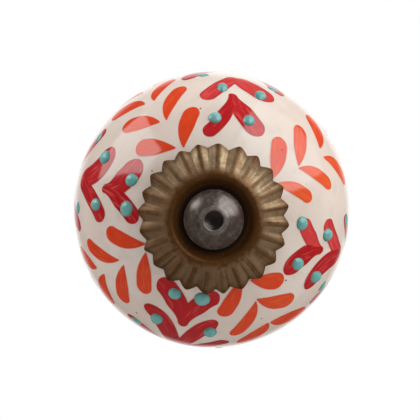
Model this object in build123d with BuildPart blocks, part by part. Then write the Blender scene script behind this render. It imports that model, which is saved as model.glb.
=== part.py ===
from build123d import *
from math import cos, radians, sin, sqrt, tan
import os

# A hand-painted ceramic drawer knob, held together on one bolt.
# The knob's axis is Y. Its front looks along -Y, and +Z is up. The origin is the centre of the
# mounting face, the plane where the base cup's rim meets the drawer front, and the bolt's
# threaded end runs on behind it along +Y. "Forward" below is the distance in front of that plane.
# All sizes are in millimetres.

# Ceramic ball
ball_diameter = 40.0
foot_diameter = 14.0
ball_bore_diameter = 6.0
seat_margin = 0.4
glaze_round = 0.5

# Raised enamel dots, in pairs down four columns of the painted pattern
dot_diameter = 2.0
dot_height = 0.45
dot_columns = 4
dot_rows = 5
dot_column_turn = 75.0
dot_first_row = 40.0
dot_row_step = 20.0
dot_half_turn = 9.5
dot_half_turn_step = 2.6

# Front rosette, pressed from sheet
rosette_sheet = 0.5
well_gap = 0.9
well_depth = 1.35
well_draft = 22.0
shoulder_round = 0.5
flute_count = 24
flute_turn = 9.8
crest_diameter = 21.3
valley_diameter = 19.8
crest_slope = 27.0
crest_round = 0.22
valley_round = 0.4
rim_gap = 0.15
flute_overlap = 0.15

# Bolt
thread_diameter = 4.0
thread_pitch = 0.7
bolt_length = 75.0
bolt_point_chamfer = 0.5
head_diameter = 8.4
head_height = 3.0
head_side = 0.9
dimple_diameter = 4.0
dimple_depth = 0.45
centre_hole_diameter = 2.5
centre_hole_depth = 1.3
drill_point_angle = 118.0

# Base cup, pressed from sheet
base_sheet = 0.6
base_diameter = 20.0
foot_margin = 0.5
base_top_round = 0.9
base_waist_flare = 0.8
base_waist_height = 1.9
base_waist_round = 1.4
base_rim_height = 1.2
base_rim_round = 0.7

# Washer and nut
washer_diameter = 9.0
washer_thickness = 0.8
washer_chamfer = 0.15
nut_across_flats = 7.0
nut_thickness = 3.2
nut_sides = 6
nut_chamfer_angle = 30.0
nut_recess = 0.4

# Clearance of the bolt's free thread in the pressed sheets, and of its shank in the nut
bolt_clearance = 0.15
thread_clearance = 0.02

# Seats, worked out from what sits in them: the head in the rosette's well, the well's floor on
# the ball's front flat, the ball's foot on the cup's top, and the washer and nut inside the cup
well_diameter = head_diameter + 2 * well_gap
front_flat_diameter = well_diameter + 2 * rosette_sheet + 2 * seat_margin
base_top_diameter = foot_diameter + 2 * foot_margin
base_waist_diameter = base_top_diameter + 2 * base_waist_flare
base_height = base_sheet + washer_thickness + nut_thickness + nut_recess

# Places along the axis
ball_radius = ball_diameter / 2
foot_forward = base_height
ball_forward = foot_forward + sqrt(ball_radius**2 - (foot_diameter / 2) ** 2)
front_flat_forward = ball_forward + sqrt(ball_radius**2 - (front_flat_diameter / 2) ** 2)
head_seat_forward = front_flat_forward + rosette_sheet
washer_forward = base_height - base_sheet - washer_thickness
nut_forward = washer_forward - nut_thickness
sheet_hole_radius = thread_diameter / 2 + bolt_clearance

# Profiles are drawn as (radius, forward) on this plane and turned about Y
profile_plane = Plane(origin=(0, 0, 0), x_dir=(1, 0, 0), z_dir=(0, 0, -1))

os.makedirs("parts", exist_ok=True)


def on_ball(polar, turn, radius):
    """A plane that looks outwards, this far from the ball's centre, polar degrees from the front pole."""
    across = sin(radians(polar))
    outwards = Vector(across * cos(radians(turn)), -cos(radians(polar)), across * sin(radians(turn)))
    return Plane(origin=Vector(0, -ball_forward, 0) + outwards * radius, z_dir=outwards)


# Ceramic ball: a turned ball with a flat foot, a front flat and a bore, and the fired-on dots
dot_sphere_radius = (dot_diameter**2 / 4 + dot_height**2) / (2 * dot_height)
dot_sphere_centre = ball_radius + dot_height - dot_sphere_radius
dot_places = []
for row in range(dot_rows):
    polar = dot_first_row + row * dot_row_step
    half_turn = dot_half_turn + row * dot_half_turn_step
    for column in range(dot_columns):
        column_turn = dot_column_turn + column * 360 / dot_columns
        for side in (-1, 1):
            dot_places.append(on_ball(polar, column_turn + side * half_turn, dot_sphere_centre))

with BuildPart() as ceramic_ball:
    with BuildSketch(profile_plane):
        with BuildLine():
            bore = Line(
                (ball_bore_diameter / 2, front_flat_forward),
                (ball_bore_diameter / 2, foot_forward),
            )
            foot = Line(bore @ 1, (foot_diameter / 2, foot_forward))
            belly = ThreePointArc(
                foot @ 1,
                (ball_radius, ball_forward),
                (front_flat_diameter / 2, front_flat_forward),
            )
            Line(belly @ 1, bore @ 0)
        face = make_face()
        corners = face.vertices().sort_by(Axis.X)
        fillet(corners[2:], radius=glaze_round)
    revolve(axis=Axis.Y)
    with Locations(*dot_places):
        Sphere(dot_sphere_radius)
ceramic_ball.part.label = "ceramic_ball"
export_step(ceramic_ball.part, "parts/ceramic_ball.step")


# Front rosette: a smooth well and shoulder, and a fluted skirt that comes down close to the ball
well_radius = well_diameter / 2
crest_radius = crest_diameter / 2
valley_radius = valley_diameter / 2
shoulder_top = head_seat_forward + well_depth
wall_height = well_depth - shoulder_round * (1 - sin(radians(well_draft)))
wall_top_radius = well_radius + wall_height * tan(radians(well_draft))
shoulder_radius = wall_top_radius + shoulder_round * cos(radians(well_draft))
root_radius = shoulder_radius + shoulder_round * sin(radians(crest_slope))
root_forward = shoulder_top - shoulder_round * (1 - cos(radians(crest_slope)))
sheet_drop = rosette_sheet / cos(radians(crest_slope))
crest_fall = tan(radians(crest_slope))
rim_crest_forward = root_forward - (crest_radius - root_radius) * crest_fall
ball_at_valley = ball_forward + sqrt(ball_radius**2 - valley_radius**2)
rim_valley_forward = ball_at_valley + sheet_drop + rim_gap
valley_fall = (root_forward - rim_valley_forward) / (valley_radius - root_radius)
rim_crest = Vector(crest_radius, rim_crest_forward)
rim_valley = Vector(valley_radius, rim_valley_forward)
rim_overshoot = (rim_crest - rim_valley).normalized() * 2 * rosette_sheet
skirt_top = root_forward + flute_overlap
skirt_bottom = min(rim_crest.Y, rim_valley.Y) - sheet_drop - flute_overlap


def fluted_section(forward, back=0.0):
    """The skirt's star-shaped section at this height, with the whole skirt moved back by this much."""
    drop = root_forward - forward
    crest = root_radius + drop / crest_fall
    valley = root_radius + drop / valley_fall
    points = []
    for step in range(2 * flute_count):
        angle = radians(flute_turn + step * 180 / flute_count)
        reach = valley if step % 2 else crest
        points.append((reach * cos(angle), reach * sin(angle)))
    with BuildSketch(Plane.XZ.offset(forward - back)) as section:
        with BuildLine():
            FilletPolyline(*points, radius=[crest_round, valley_round] * flute_count, close=True)
        make_face()
    return section.sketch


with BuildPart() as front_rosette:
    loft([fluted_section(skirt_top), fluted_section(skirt_bottom)], ruled=True)
    loft(
        [fluted_section(skirt_top, sheet_drop), fluted_section(skirt_bottom, sheet_drop)],
        ruled=True,
        mode=Mode.SUBTRACT,
    )
    rim_outside = rim_crest + rim_overshoot
    rim_inside = rim_valley - rim_overshoot
    with BuildSketch(profile_plane):
        with BuildLine():
            Polyline(
                (root_radius, skirt_top),
                (rim_outside.X, skirt_top),
                (rim_outside.X, rim_outside.Y),
                (rim_inside.X, rim_inside.Y),
                (root_radius, skirt_bottom),
                close=True,
            )
        make_face()
    revolve(axis=Axis.Y, mode=Mode.INTERSECT)
    with BuildSketch(profile_plane):
        with BuildLine():
            floor = Line((sheet_hole_radius, head_seat_forward), (well_radius, head_seat_forward))
            Line(floor @ 1, (wall_top_radius, head_seat_forward + wall_height))
            shoulder = CenterArc(
                (shoulder_radius, shoulder_top - shoulder_round),
                shoulder_round,
                180 - well_draft,
                well_draft - 90 - crest_slope,
            )
            Line(
                shoulder @ 1,
                (root_radius + flute_overlap, root_forward - flute_overlap * crest_fall),
            )
            offset(amount=rosette_sheet, side=Side.RIGHT)
        make_face()
    revolve(axis=Axis.Y)
front_rosette.part.label = "front_rosette"
export_step(front_rosette.part, "parts/front_rosette.step")


# Bolt: a turned dome head with a countersunk centre hole, a shank, and a threaded end
# Inside the nut both threads are modelled at their pitch radius, and the free end at its full radius.
# The pitch line of a 60 degree thread lies 3/8 of the thread's full height inside its crests.
thread_radius = thread_diameter / 2
thread_height = thread_pitch * sqrt(3) / 2
pitch_radius = thread_radius - 3 / 8 * thread_height
head_radius = head_diameter / 2
dimple_radius = dimple_diameter / 2
hole_radius = centre_hole_diameter / 2
dome_base = head_seat_forward + head_side
dome_top = head_seat_forward + head_height
dome_narrowing = head_radius**2 - dimple_radius**2
dome_centre = (dome_base + dome_top) / 2 - dome_narrowing / (2 * (dome_top - dome_base))
dome_radius = sqrt(head_radius**2 + (dome_base - dome_centre) ** 2)
dome_middle_radius = (head_radius + dimple_radius) / 2
dome_middle = dome_centre + sqrt(dome_radius**2 - dome_middle_radius**2)
hole_floor = dome_top - dimple_depth - centre_hole_depth
hole_tip = hole_floor - hole_radius / tan(radians(drill_point_angle / 2))
bolt_end = head_seat_forward - bolt_length

with BuildPart() as bolt:
    with BuildSketch(profile_plane):
        with BuildLine():
            shank = Polyline(
                (0, hole_tip),
                (0, bolt_end),
                (thread_radius - bolt_point_chamfer, bolt_end),
                (thread_radius, bolt_end + bolt_point_chamfer),
                (thread_radius, 0),
                (pitch_radius, thread_radius - pitch_radius),
                (pitch_radius, head_seat_forward),
                (head_radius, head_seat_forward),
                (head_radius, dome_base),
            )
            dome = ThreePointArc(
                shank @ 1,
                (dome_middle_radius, dome_middle),
                (dimple_radius, dome_top),
            )
            Polyline(
                dome @ 1,
                (hole_radius, dome_top - dimple_depth),
                (hole_radius, hole_floor),
                (0, hole_tip),
            )
        make_face()
    revolve(axis=Axis.Y)
bolt.part.label = "bolt"
export_step(bolt.part, "parts/bolt.step")


# Base cup: a pressed cup with a flat top under the ball's foot, a waist and a flared rim
with BuildPart() as base_cup:
    with BuildSketch(profile_plane):
        with BuildLine():
            FilletPolyline(
                (sheet_hole_radius, base_height),
                (base_top_diameter / 2, base_height),
                (base_waist_diameter / 2, base_waist_height),
                (base_diameter / 2, base_rim_height),
                (base_diameter / 2, 0),
                radius=(base_top_round, base_waist_round, base_rim_round),
            )
            offset(amount=base_sheet, side=Side.RIGHT)
        make_face()
    revolve(axis=Axis.Y)
base_cup.part.label = "base_cup"
export_step(base_cup.part, "parts/base_cup.step")


# Washer: a stamped ring between the cup's top and the nut
with BuildPart() as washer:
    with BuildSketch(Plane.XZ.offset(washer_forward)):
        Circle(washer_diameter / 2)
        Circle(sheet_hole_radius, mode=Mode.SUBTRACT)
    extrude(amount=washer_thickness)
    outer_edges = washer.edges().filter_by(GeomType.CIRCLE).group_by(SortBy.RADIUS)[-1]
    chamfer(outer_edges, length=washer_chamfer)
washer.part.label = "washer"
export_step(washer.part, "parts/washer.step")


# Nut: a hexagon with both faces chamfered, run up inside the cup
nut_face_radius = nut_across_flats / 2
nut_corner_radius = nut_face_radius / cos(radians(180 / nut_sides))
nut_chamfer = (nut_corner_radius - nut_face_radius) * tan(radians(nut_chamfer_angle))
nut_top = nut_forward + nut_thickness

with BuildPart() as nut:
    with BuildSketch(Plane.XZ.offset(nut_forward)):
        RegularPolygon(nut_face_radius, nut_sides, major_radius=False)
        Circle(pitch_radius + thread_clearance, mode=Mode.SUBTRACT)
    extrude(amount=nut_thickness)
    with BuildSketch(profile_plane):
        with BuildLine():
            Polyline(
                (0, nut_forward),
                (nut_face_radius, nut_forward),
                (nut_corner_radius, nut_forward + nut_chamfer),
                (nut_corner_radius, nut_top - nut_chamfer),
                (nut_face_radius, nut_top),
                (0, nut_top),
                close=True,
            )
        make_face()
    revolve(axis=Axis.Y, mode=Mode.INTERSECT)
nut.part.label = "nut"
export_step(nut.part, "parts/nut.step")
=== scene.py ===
import bmesh
import bpy
import numpy as np
from mathutils import Matrix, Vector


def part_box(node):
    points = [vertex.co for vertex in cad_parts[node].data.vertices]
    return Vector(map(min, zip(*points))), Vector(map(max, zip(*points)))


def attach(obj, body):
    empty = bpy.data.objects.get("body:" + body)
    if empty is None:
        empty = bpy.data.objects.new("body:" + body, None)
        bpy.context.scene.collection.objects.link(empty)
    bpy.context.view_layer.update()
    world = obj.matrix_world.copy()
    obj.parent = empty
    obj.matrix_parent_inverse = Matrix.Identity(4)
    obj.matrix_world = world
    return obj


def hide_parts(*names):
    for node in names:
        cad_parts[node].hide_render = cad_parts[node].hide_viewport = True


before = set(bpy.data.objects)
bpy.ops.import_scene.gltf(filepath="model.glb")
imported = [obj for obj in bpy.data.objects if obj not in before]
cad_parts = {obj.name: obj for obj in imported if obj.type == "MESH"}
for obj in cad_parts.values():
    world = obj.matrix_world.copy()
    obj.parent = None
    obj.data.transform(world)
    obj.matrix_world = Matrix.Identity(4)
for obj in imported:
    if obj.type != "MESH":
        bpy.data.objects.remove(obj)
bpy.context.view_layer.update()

# The photo's view
# A long lens half a metre in front of the knob, a little above its axis and to its left.
# The ball's outline in the photo sets the lens and the aim.
photo_width = 420
photo_middle = photo_width / 2
photo_ball_centre = np.array([211.7, 209.8])
photo_ball_radius = 137.6
camera_distance = 0.5
camera_elevation = np.radians(3.8)
camera_turn = np.radians(-0.8)
sensor_width = 36.0
mm = 0.001

ball_front, ball_foot = (corner.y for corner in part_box("ceramic_ball"))
ball_radius = 20 * mm
foot_radius = 7 * mm
ball_centre = np.array([0, ball_foot - np.sqrt(ball_radius**2 - foot_radius**2), 0])


def unit(vectors):
    """Each vector divided by its own length."""
    return vectors / np.linalg.norm(vectors, axis=-1, keepdims=True)


focal_pixels = photo_ball_radius * np.sqrt(camera_distance**2 - ball_radius**2) / ball_radius
towards_camera = np.array(
    [
        np.sin(camera_turn) * np.cos(camera_elevation),
        -np.cos(camera_turn) * np.cos(camera_elevation),
        np.sin(camera_elevation),
    ]
)
eye = ball_centre + camera_distance * towards_camera
image_right = unit(np.cross(-towards_camera, [0, 0, 1]))
image_up = np.cross(image_right, -towards_camera)
aim_shift = (photo_ball_centre - photo_middle) * camera_distance / focal_pixels
aim = ball_centre - aim_shift[0] * image_right + aim_shift[1] * image_up
view_ahead = unit(aim - eye)
view_right = unit(np.cross(view_ahead, [0, 0, 1]))
view_up = np.cross(view_right, view_ahead)

camera = bpy.data.objects.new("camera", bpy.data.cameras.new("camera"))
camera.data.sensor_width = sensor_width
camera.data.lens = focal_pixels * sensor_width / photo_width
camera.data.clip_start = 10 * mm
camera.matrix_world = Matrix.Translation(eye) @ Matrix(
    np.column_stack([view_right, view_up, -view_ahead]).tolist()
).to_4x4()
bpy.context.scene.collection.objects.link(camera)
bpy.context.scene.camera = camera


# Ceramic ball
# A thrown and fired ball under a glossy cream glaze, with a bore for the bolt, a flat foot behind
# and a small flat in front under the rosette. Its surface is slightly uneven.
bore_radius = 3 * mm
glaze_round = 0.5 * mm
ball_columns = 256
belly_rows = 170
round_rows = 6
unevenness = 0.012 * mm
uneven_waves = 7
wave_spread = 4.5
# The unevenness ends before the foot and the front flat, by the cosine from the pole opposite each
foot_fade = (-0.93, -0.85)
front_fade = (-0.94, -0.88)
merge_distance = 1e-7
glaze_ior = 1.54
glaze_roughness = 0.07
glaze_haze = 0.06
haze_scale = 160.0
peel_scale = 600.0
peel_strength = 0.05
peel_height = 0.1 * mm
# Clouds in the glaze: their scale, and between which values of the noise their colour sets in
cloud_scale = 90.0
pale_edge = (0.42, 0.66)
fine_cloud_scale = 420.0
grey_edge = (0.5, 0.72)
grey_share = 0.55
cream = (0.725, 0.605, 0.535, 1)
cream_pale = (0.765, 0.665, 0.60, 1)
cream_grey = (0.655, 0.555, 0.49, 1)

shape_rng = np.random.default_rng(11)
wave_vectors = shape_rng.normal(0, wave_spread, (uneven_waves, 3))
wave_phases = shape_rng.uniform(0, 2 * np.pi, uneven_waves)


def glaze_point(direction, lift=0.0):
    """Ball centre + direction * (radius + a sum of small sine waves over the ball + lift)."""
    wave = unevenness * np.sin(direction @ wave_vectors.T + wave_phases).sum(-1)
    return ball_centre + direction * (ball_radius + wave + lift)[..., None]


def once_round(columns):
    """The angles of this many columns, evenly once round."""
    return np.linspace(0, 2 * np.pi, columns, endpoint=False)


def about_axis(radius, forward, angle):
    """Points at this radius and angle about Y, this far in front of the origin."""
    return np.stack(np.broadcast_arrays(radius * np.cos(angle), -forward, radius * np.sin(angle)), -1)


def turned(radius, forward, columns):
    """A profile of (radius, distance in front of the origin) turned about Y, one row for each point."""
    return about_axis(radius[:, None], forward[:, None], once_round(columns))


def smooth_step(values, low, high):
    """0 below low, 1 above high, and 3t^2 - 2t^3 between them."""
    share = np.clip((values - low) / (high - low), 0, 1)
    return share * share * (3 - 2 * share)


def add_surface(name, points, attributes=None, closed_rows=False, sharp_angle=None):
    """One mesh from grids of points, (grids, rows, columns, 3), whose columns run round and close.

    Rows close too where closed_rows is set. Points that fall together at a pole are merged.
    """
    grids, rows, columns, _ = points.shape
    row, column = np.meshgrid(np.arange(rows if closed_rows else rows - 1), np.arange(columns), indexing="ij")
    next_row = (row + 1) % rows
    next_column = (column + 1) % columns
    corners = [
        row * columns + column,
        row * columns + next_column,
        next_row * columns + next_column,
        next_row * columns + column,
    ]
    quads = np.stack(corners, -1).reshape(-1, 4)
    quads = (quads[None] + rows * columns * np.arange(grids)[:, None, None]).reshape(-1, 4)
    mesh = bpy.data.meshes.new(name)
    mesh.from_pydata(points.reshape(-1, 3), [], quads)
    for label, values in (attributes or {}).items():
        layer = mesh.attributes.new(label, "FLOAT", "POINT")
        laid_out = np.broadcast_to(values, points.shape[:-1])
        layer.data.foreach_set("value", np.ascontiguousarray(laid_out, np.float32).ravel())
    loose = bmesh.new()
    loose.from_mesh(mesh)
    bmesh.ops.remove_doubles(loose, verts=loose.verts, dist=merge_distance)
    bmesh.ops.recalc_face_normals(loose, faces=loose.faces)
    loose.to_mesh(mesh)
    loose.free()
    mesh.shade_smooth()
    if sharp_angle is not None:
        mesh.set_sharp_from_angle(angle=np.radians(sharp_angle))
    piece = bpy.data.objects.new(name, mesh)
    bpy.context.scene.collection.objects.link(piece)
    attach(piece, "root")
    return piece


class Shade:
    """A socket of a material's nodes. Sums on it add Math nodes, and node() adds any other node."""

    def __init__(self, tree, socket=None):
        self.tree = tree
        self.socket = socket

    def node(self, kind, sockets=None, output=0, **settings):
        """Adds a node: its settings first, then the value or link of each socket."""
        made = self.tree.nodes.new("ShaderNode" + kind)
        for label, setting in settings.items():
            setattr(made, label, setting)
        for label, given in (sockets or {}).items():
            if isinstance(given, Shade):
                self.tree.links.new(given.socket, made.inputs[label])
            else:
                made.inputs[label].default_value = given
        return Shade(self.tree, made.outputs[output] if made.outputs else None)

    def maths(self, operation, first, second):
        return self.node("Math", {0: first, 1: second}, operation=operation)

    def __add__(self, other):
        return self.maths("ADD", self, other)

    def __radd__(self, other):
        return self.maths("ADD", other, self)

    def __sub__(self, other):
        return self.maths("SUBTRACT", self, other)

    def __rsub__(self, other):
        return self.maths("SUBTRACT", other, self)

    def __mul__(self, other):
        return self.maths("MULTIPLY", self, other)

    def __rmul__(self, other):
        return self.maths("MULTIPLY", other, self)

    def step(self, low, high):
        """0 at low, 1 at high, smooth between."""
        sockets = {"Value": self, "From Min": low, "From Max": high}
        return self.node("MapRange", sockets, interpolation_type="SMOOTHSTEP")

    def blend(self, first, second):
        """The first colour where this is 0, the second where it is 1."""
        return self.node("Mix", {0: self, 6: first, 7: second}, output=2, data_type="RGBA")


def new_finish(name):
    """An empty material and the wrapped tree that its nodes go into."""
    material = bpy.data.materials.new(name)
    material.use_nodes = True
    material.node_tree.nodes.clear()
    return material, Shade(material.node_tree)


def close_finish(shade, sockets):
    """Ends a material in one Principled shader with these sockets."""
    shade.node("OutputMaterial", {"Surface": shade.node("BsdfPrincipled", sockets)})


def attribute(shade, label):
    """One of the mesh's own values as a socket."""
    return shade.node("Attribute", attribute_name=label, output="Fac")


def object_place(shade):
    """Where a point of the piece lies, in metres."""
    return shade.node("TexCoord", output="Object")


def clouds(shade, place, scale, detail=2.0, roughness=0.5):
    """Noise from 0 to 1: smaller clouds at a larger scale, with finer clouds in them at more detail."""
    sockets = {"Vector": place, "Scale": scale, "Detail": detail, "Roughness": roughness}
    return shade.node("TexNoise", sockets)


def glaze_colour(shade, place):
    """Cream glaze in soft pale and greyish clouds."""
    cloud = clouds(shade, place, cloud_scale)
    fine_cloud = clouds(shade, place, fine_cloud_scale, detail=3.0)
    pale = cloud.step(*pale_edge).blend(cream, cream_pale)
    return (fine_cloud.step(*grey_edge) * grey_share).blend(pale, cream_grey)


def glaze_sockets(shade, place, colour, ior):
    """A smooth glassy coat: low roughness, faint orange peel."""
    peel = clouds(shade, place, peel_scale, detail=1.0)
    haze = clouds(shade, place, haze_scale)
    bump = shade.node("Bump", {"Height": peel, "Strength": peel_strength, "Distance": peel_height})
    return {
        "Base Color": colour,
        "Roughness": haze * glaze_haze + glaze_roughness,
        "IOR": ior,
        "Normal": bump,
    }


foot_depth = ball_foot - ball_centre[1]
front_depth = ball_centre[1] - ball_front


def rounded_edge(depth):
    """The rounding where a flat this far from the ball's centre meets the ball.

    Gives its centre, across and along the axis, and the polar angle at which it runs into the ball.
    """
    along = depth - glaze_round
    across = np.sqrt((ball_radius - glaze_round) ** 2 - along**2)
    return across, along, np.arctan2(across, along)


front_across, front_along, front_polar = rounded_edge(front_depth)
foot_across, foot_along, foot_polar = rounded_edge(foot_depth)
front_bend = np.linspace(0, front_polar, round_rows)
foot_bend = np.linspace(foot_polar, 0, round_rows)
belly_bend = np.linspace(front_polar, np.pi - foot_polar, belly_rows + 2)[1:-1]
ball_profile_radius = np.concatenate(
    [
        [bore_radius],
        front_across + glaze_round * np.sin(front_bend),
        ball_radius * np.sin(belly_bend),
        foot_across + glaze_round * np.sin(foot_bend),
        [bore_radius],
    ]
)
ball_profile_depth = np.concatenate(
    [
        [front_depth],
        front_along + glaze_round * np.cos(front_bend),
        ball_radius * np.cos(belly_bend),
        -foot_along - glaze_round * np.cos(foot_bend),
        [-foot_depth],
    ]
)
even_ball = turned(ball_profile_radius, ball_profile_depth - ball_centre[1], ball_columns)
ball_direction = unit(even_ball - ball_centre)
ball_backward = ball_direction[..., 1]
on_belly = smooth_step(-ball_backward, *foot_fade) * smooth_step(ball_backward, *front_fade)
uneven_by = glaze_point(ball_direction) - ball_centre - ball_radius * ball_direction
ball_points = even_ball + on_belly[..., None] * uneven_by
glazed_ball = add_surface("glazed_ball", ball_points[None], closed_rows=True, sharp_angle=50)
glaze, shade = new_finish("cream_glaze")
glaze_place = object_place(shade)
close_finish(shade, glaze_sockets(shade, glaze_place, glaze_colour(shade, glaze_place), glaze_ior))
glazed_ball.data.materials.append(glaze)
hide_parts("ceramic_ball")


# Orange leaves
# Single strokes of a loaded brush, laid in pairs whose points meet, in four columns down the ball.
# The colour is a thin film on the glaze and is fired with it. Seen strokes are read from the photo.
film = 0.025 * mm
film_overlap = 0.008 * mm
film_root = 0.05 * mm
# The film has its full thickness where the stroke is more than a third of its full width
film_rise = 3.0
edge_soak = 0.2 * mm
stroke_rows = 36
stroke_columns = 28
widest_stroke = 4.0 * mm
least_shortened = 0.25
leaf_tip_share = 0.12
leaf_belly = 0.62
leaf_swell = 1.7
leaf_columns_turn = (31.0, 118.0, 205.0, 297.5)
# Colours rich in lead are glassier than the glaze
paint_ior = 1.85
orange = (0.73, 0.055, 0.010, 1)
orange_deep = (0.62, 0.034, 0.006, 1)
orange_thin = (0.82, 0.115, 0.032, 1)
orange_streaks = 0.55
orange_pooling = 0.35
# Strokes of a deep tone and pools take the deep colour, pale strokes and streaks the thin one
deep_tones = (0.4, 1.0)
deep_share = 0.6
pool_scale = 330.0
pool_edge = (0.45, 0.7)
pool_share = 0.4
thin_tones = (0.0, 0.55)
thin_share = 0.6
streak_scale = 2.4
streak_length = 1.3
streak_shift = 7.3
streak_edge = (0.45, 0.75)
pooled_border = (0.6 * edge_soak / mm, 2.6 * edge_soak / mm)

# Each leaf as point, middle of its bend, round end and width, in pixels of the photo, and its tone from
# 0, pale, to 1, deep: partly how thick the paint lies, partly painted light and shade, paler where the lights
#                      fall
upper_left_leaves = [
    ((176.0, 148.0), (153.5, 147.2), (135.8, 148.0), 17.5, 0.6),
    ((183.5, 147.8), (186.0, 127.0), (195.0, 107.0), 16.5, 0.45),
    ((160.0, 122.3), (142.0, 122.8), (122.5, 128.0), 14.5, 0.5),
    ((166.5, 120.5), (170.5, 102.5), (184.0, 86.5), 13.0, 0.4),
    ((145.0, 104.5), (129.5, 107.3), (111.5, 119.5), 9.0, 0.5),
    ((154.5, 101.0), (158.5, 90.5), (174.0, 79.3), 8.5, 0.4),
]
upper_right_leaves = [
    ((272.3, 179.0), (277.8, 159.0), (279.5, 136.8), 17.0, 0.4),
    ((275.0, 184.0), (295.0, 188.5), (311.5, 200.5), 13.5, 0.15),
    ((298.5, 166.3), (300.0, 147.0), (299.5, 125.8), 13.5, 0.3),
    ((298.0, 168.3), (315.5, 173.5), (331.0, 187.5), 12.0, 0.05),
    ((319.5, 148.5), (317.0, 131.5), (307.5, 115.0), 9.5, 0.3),
    ((323.0, 157.5), (336.5, 166.5), (345.0, 183.5), 9.0, 0.1),
]
lower_left_leaves = [
    ((146.0, 243.8), (124.0, 240.5), (106.5, 229.5), 16.0, 0.45),
    ((146.0, 252.0), (144.0, 273.0), (144.5, 293.8), 15.5, 0.4),
    ((119.5, 260.0), (101.5, 255.0), (87.0, 241.0), 12.0, 0.5),
    ((124.0, 264.8), (121.8, 283.5), (124.5, 302.5), 13.5, 0.5),
    ((97.0, 267.5), (88.5, 261.0), (80.5, 249.0), 8.5, 0.5),
    ((104.5, 274.0), (104.5, 289.5), (113.5, 304.0), 9.5, 0.5),
]
lower_right_leaves = [
    ((250.0, 280.0), (268.5, 281.3), (284.0, 280.5), 17.5, 0.35),
    ((241.0, 277.0), (233.0, 299.0), (221.0, 316.3), 15.5, 0.45),
    ((256.5, 299.0), (276.0, 302.0), (294.3, 297.5), 15.0, 0.25),
    ((255.8, 301.0), (248.8, 318.5), (232.0, 335.5), 12.0, 0.4),
    ((270.0, 322.0), (285.5, 318.3), (304.0, 310.0), 11.0, 0.4),
    ((267.5, 322.5), (258.0, 332.5), (238.5, 343.0), 10.0, 0.5),
]


def seen_direction(pixels):
    """From the ball's centre to where the ray through each pixel of the photo first meets the ball.

    A pixel outside the ball's outline stands for a place behind the limb, as far round as it lies outside.
    """
    from_middle = np.asarray(pixels, float) - photo_ball_centre
    reach = np.linalg.norm(from_middle, axis=-1, keepdims=True) / photo_ball_radius
    beyond = np.clip(reach - 1, 0, None)
    within = photo_ball_centre + from_middle / np.maximum(reach, 1)
    offset = (within - photo_middle) / focal_pixels
    ray = unit(view_ahead + offset[..., :1] * view_right - offset[..., 1:] * view_up)
    along = ray @ (ball_centre - eye)
    half_chord = np.sqrt(np.clip(ball_radius**2 - camera_distance**2 + along**2, 0, None))
    first = unit(eye + ray * (along - half_chord)[..., None] - ball_centre)
    backwards = unit((first @ towards_camera)[..., None] * first - towards_camera)
    return first * np.cos(beyond) + backwards * np.sin(beyond)


def ball_direction_at(polar, turn):
    """The direction this many degrees from the front pole, turned this far from +X towards +Z."""
    polar, turn = np.radians(polar), np.radians(turn)
    return np.stack([np.sin(polar) * np.cos(turn), -np.cos(polar), np.sin(polar) * np.sin(turn)], -1)


def seen_strokes(marks):
    """Start, middle and end directions of strokes read from the photo, true half widths and tones.

    A width seen in pixels is divided by how far the stroke is foreshortened across its run: the cross
    product of its projected length and side directions, over its projected length.
    """
    starts, middles, ends = (seen_direction([mark[i] for mark in marks]) for i in range(3))
    sideways = unit(np.cross(middles, ends - starts))
    lengthways = np.cross(sideways, middles)
    side_x, side_y = sideways @ view_right, sideways @ view_up
    length_x, length_y = lengthways @ view_right, lengthways @ view_up
    shortened = np.abs(length_x * side_y - length_y * side_x) / np.hypot(length_x, length_y)
    pixel_size = (camera_distance - ball_radius * (middles @ towards_camera)) / focal_pixels
    widths = np.array([mark[3] for mark in marks]) * pixel_size / np.maximum(shortened, least_shortened)
    tones = np.array([mark[4] for mark in marks])
    return starts, middles, ends, (np.minimum(widths, widest_stroke) + edge_soak) / 2, tones


def depth_in_partner(direction, line, side):
    """How far inside the other stroke of its pair each point lies, negative outside it.

    The strokes are in pairs, and the depth is the largest of the other's half width less the distance to
    its middle line.
    """
    partner = np.arange(len(line)) ^ 1
    cosine = np.einsum("sruk,smk->srum", direction, line[partner])
    distance = np.arccos(np.clip(cosine, -1, 1)) * ball_radius
    return (side[partner][:, None, None] - distance).max(-1)


def leaf_growth(along):
    """How a leaf widens from its point: 1 - (1 - u / belly)^1.7 up to the belly."""
    return 1 - np.clip(1 - along / leaf_belly, 0, 1) ** leaf_swell


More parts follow.
